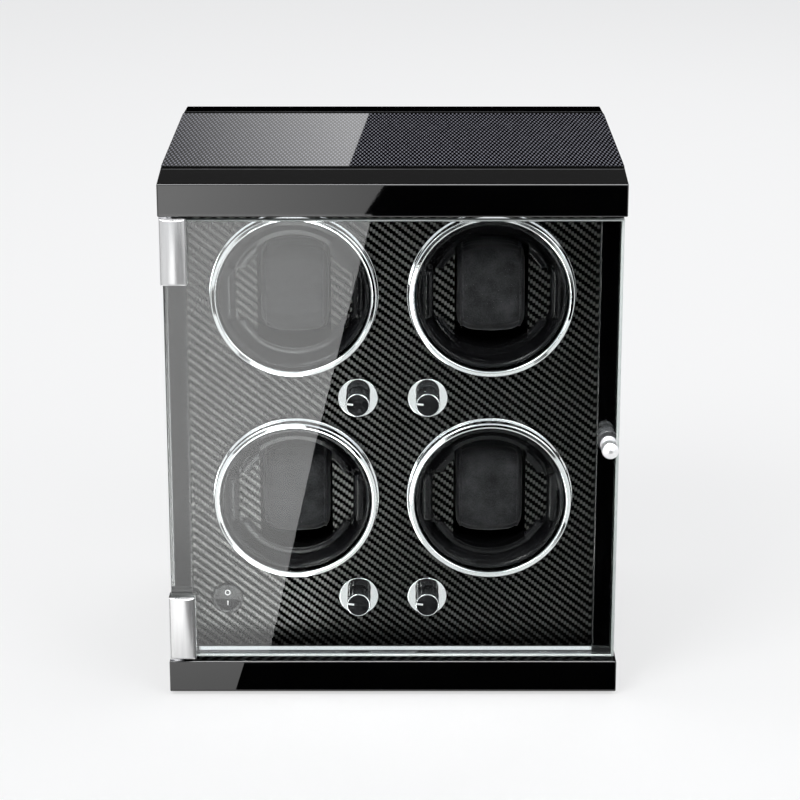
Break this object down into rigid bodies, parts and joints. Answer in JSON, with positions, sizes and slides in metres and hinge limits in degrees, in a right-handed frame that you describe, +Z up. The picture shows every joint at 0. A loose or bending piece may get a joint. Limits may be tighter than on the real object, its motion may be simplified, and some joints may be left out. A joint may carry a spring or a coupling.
{
  "type": "watch winder box",
  "caption": "Lacquered upright cabinet with a pivoting glass door; motor-driven round rotors hold watch pillows, with selector knobs and a rocker switch on a carbon-look panel.",
  "frame": {"origin": "on the floor, below the middle of the overall box", "axes": "+Z up, the glass door faces -Y, +X to the viewer's right"},
  "size_m": [0.26, 0.233, 0.3075],
  "materials": {
    "black_lacquer": "black piano lacquer on fibreboard",
    "carbon_film": "carbon-weave film under clear lacquer",
    "back_board": "satin black",
    "chrome_trim": "mirror chrome",
    "satin_chrome": "polished, lightly brushed",
    "black_gloss": "high gloss black",
    "knob_metal": "black anodised, spun face",
    "door_glass": "clear, polished edges",
    "pillow_cover": "black suede cloth",
    "gear_plastic": "moulded acetal",
    "steel": "plated",
    "plate_metal": "mill finish",
    "brass_bush": "turned",
    "foot_rubber": "matt",
    "lead_cover": "soft insulation",
    "electronics": "moulded cases on a coated board"
  },
  "bodies": {
    "cabinet": {"base_plinth": "black_lacquer", "rubber_feet": "foot_rubber", "top_cap": "black_lacquer", "top_inlay": "carbon_film", "left_side_wall": "black_lacquer", "right_side_wall": "black_lacquer", "door_magnet": "steel", "rear_cover": "back_board", "rear_cover_screws": "steel", "front_panel": "carbon_film", "panel_trim_strip": "chrome_trim", "drive_plate": "plate_metal", "plate_posts": "plate_metal", "drive_screws": "steel", "axle_bushes": "brass_bush", "gear_motors": "plate_metal", "rotary_switches": "electronics", "knob_plates": "chrome_trim", "switch_body": "black_gloss", "pivot_sockets": "brass_bush", "control_board": "electronics", "board_pillars": "electronics", "power_jack": "electronics", "wiring_loom": "lead_cover", "bezel_ring_upper_left": "chrome_trim", "bezel_ring_upper_right": "chrome_trim", "bezel_ring_lower_left": "chrome_trim", "bezel_ring_lower_right": "chrome_trim"},
    "door": {"door_glass": "door_glass", "hinge_clamp_upper": "satin_chrome", "hinge_clamp_lower": "satin_chrome", "pivot_pins": "steel", "clamp_screws": "steel", "door_knob": "chrome_trim", "knob_strike": "steel"},
    "rotor_upper_left": {"rotor_drum_upper_left": "black_gloss", "rotor_face_upper_left": "carbon_film", "watch_pillow_upper_left": "pillow_cover", "rotor_gear_upper_left": "gear_plastic"},
    "pinion_upper_left": {"motor_pinion_upper_left": "gear_plastic"},
    "knob_upper_left": {"selector_knob_upper_left": "knob_metal"},
    "rotor_upper_right": {"rotor_drum_upper_right": "black_gloss", "rotor_face_upper_right": "carbon_film", "watch_pillow_upper_right": "pillow_cover", "rotor_gear_upper_right": "gear_plastic"},
    "pinion_upper_right": {"motor_pinion_upper_right": "gear_plastic"},
    "knob_upper_right": {"selector_knob_upper_right": "knob_metal"},
    "rotor_lower_left": {"rotor_drum_lower_left": "black_gloss", "rotor_face_lower_left": "carbon_film", "watch_pillow_lower_left": "pillow_cover", "rotor_gear_lower_left": "gear_plastic"},
    "pinion_lower_left": {"motor_pinion_lower_left": "gear_plastic"},
    "knob_lower_left": {"selector_knob_lower_left": "knob_metal"},
    "rotor_lower_right": {"rotor_drum_lower_right": "black_gloss", "rotor_face_lower_right": "carbon_film", "watch_pillow_lower_right": "pillow_cover", "rotor_gear_lower_right": "gear_plastic"},
    "pinion_lower_right": {"motor_pinion_lower_right": "gear_plastic"},
    "knob_lower_right": {"selector_knob_lower_right": "knob_metal"},
    "rocker": {"power_rocker": "black_gloss"}
  },
  "joints": [
    {"name": "door_swing", "type": "hinge", "parent": "cabinet", "child": "door", "pos_m": [-0.1255, -0.0985, 0.15325], "axis": [0, 0, -1], "range_deg": [0, 110]},
    {"name": "rotor_spin_upper_left", "type": "hinge", "parent": "cabinet", "child": "rotor_upper_left", "pos_m": [-0.056, -0.0105, 0.2355], "axis": [0, 1, 0], "continuous": true},
    {"name": "pinion_spin_upper_left", "type": "hinge", "parent": "cabinet", "child": "pinion_upper_left", "pos_m": [-0.056, -0.0105, 0.1978], "axis": [0, 1, 0], "continuous": true},
    {"name": "knob_turn_upper_left", "type": "hinge", "parent": "cabinet", "child": "knob_upper_left", "pos_m": [-0.02, -0.0775, 0.1735], "axis": [0, 1, 0], "range_deg": [0, 180]},
    {"name": "rotor_spin_upper_right", "type": "hinge", "parent": "cabinet", "child": "rotor_upper_right", "pos_m": [0.056, -0.0105, 0.2355], "axis": [0, 1, 0], "continuous": true},
    {"name": "pinion_spin_upper_right", "type": "hinge", "parent": "cabinet", "child": "pinion_upper_right", "pos_m": [0.056, -0.0105, 0.1978], "axis": [0, 1, 0], "continuous": true},
    {"name": "knob_turn_upper_right", "type": "hinge", "parent": "cabinet", "child": "knob_upper_right", "pos_m": [0.02, -0.0775, 0.1735], "axis": [0, 1, 0], "range_deg": [0, 180]},
    {"name": "rotor_spin_lower_left", "type": "hinge", "parent": "cabinet", "child": "rotor_lower_left", "pos_m": [-0.056, -0.0105, 0.11383], "axis": [0, 1, 0], "continuous": true},
    {"name": "pinion_spin_lower_left", "type": "hinge", "parent": "cabinet", "child": "pinion_lower_left", "pos_m": [-0.056, -0.0105, 0.15153], "axis": [0, 1, 0], "continuous": true},
    {"name": "knob_turn_lower_left", "type": "hinge", "parent": "cabinet", "child": "knob_lower_left", "pos_m": [-0.02, -0.0775, 0.05183], "axis": [0, 1, 0], "range_deg": [0, 180]},
    {"name": "rotor_spin_lower_right", "type": "hinge", "parent": "cabinet", "child": "rotor_lower_right", "pos_m": [0.056, -0.0105, 0.11383], "axis": [0, 1, 0], "continuous": true},
    {"name": "pinion_spin_lower_right", "type": "hinge", "parent": "cabinet", "child": "pinion_lower_right", "pos_m": [0.056, -0.0105, 0.15153], "axis": [0, 1, 0], "continuous": true},
    {"name": "knob_turn_lower_right", "type": "hinge", "parent": "cabinet", "child": "knob_lower_right", "pos_m": [0.02, -0.0775, 0.05183], "axis": [0, 1, 0], "range_deg": [0, 180]},
    {"name": "rocker_tip", "type": "hinge", "parent": "cabinet", "child": "rocker", "pos_m": [-0.097, -0.0739, 0.0505], "axis": [1, 0, 0], "range_deg": [0, 16]}
  ],
  "couplings": [
    {"joint": "pinion_spin_upper_left", "follows": "rotor_spin_upper_left", "ratio": -4},
    {"joint": "pinion_spin_upper_right", "follows": "rotor_spin_upper_right", "ratio": -4},
    {"joint": "pinion_spin_lower_left", "follows": "rotor_spin_lower_left", "ratio": -4},
    {"joint": "pinion_spin_lower_right", "follows": "rotor_spin_lower_right", "ratio": -4}
  ]
}
